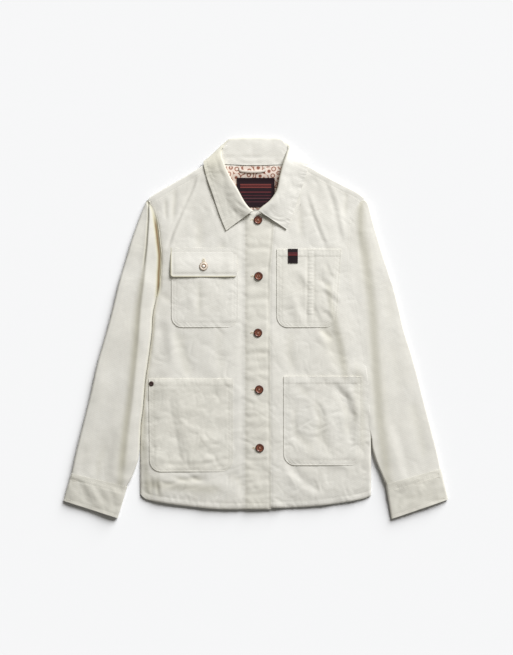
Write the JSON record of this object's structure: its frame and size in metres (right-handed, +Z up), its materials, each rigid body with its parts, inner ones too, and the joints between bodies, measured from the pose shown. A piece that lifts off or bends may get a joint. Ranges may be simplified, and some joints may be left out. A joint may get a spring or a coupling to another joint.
{
  "type": "chore jacket",
  "caption": "Cotton drill chore jacket with a turn-down collar, patch pockets, a flap pocket and cuffs, buttoned up and laid flat on its back.",
  "frame": {"origin": "middle of the laid jacket's outline, at the surface it lies on", "axes": "+X towards the wearer's left sleeve, +Y from the hem towards the collar, +Z up from the surface out of the fronts"},
  "size_m": [0.6726, 0.667, 0.0128],
  "materials": {
    "cotton_drill": "matte ecru cotton drill",
    "printed_cotton": "matte printed cotton",
    "woven_label": "dark woven label, plain",
    "resin": "polished brown resin",
    "copper": "aged copper"
  },
  "bodies": {
    "root": {"back": "cotton_drill", "front_right": "cotton_drill", "front_left": "cotton_drill", "sleeve_right": "cotton_drill", "sleeve_left": "cotton_drill", "cuff_right": "cotton_drill", "cuff_left": "cotton_drill", "collar": "cotton_drill", "lower_pocket_right": "cotton_drill", "lower_pocket_left": "cotton_drill", "chest_pocket_right": "cotton_drill", "chest_pocket_left": "cotton_drill", "chest_flap": "cotton_drill", "hanger_loop": "cotton_drill", "neck_lining": "printed_cotton", "neck_label": "woven_label", "pocket_tab": "woven_label", "front_button_1": "resin", "front_button_2": "resin", "front_button_3": "resin", "front_button_4": "resin", "front_button_5": "resin", "flap_button": "resin", "pocket_rivet": "copper"}
  },
  "joints": []
}
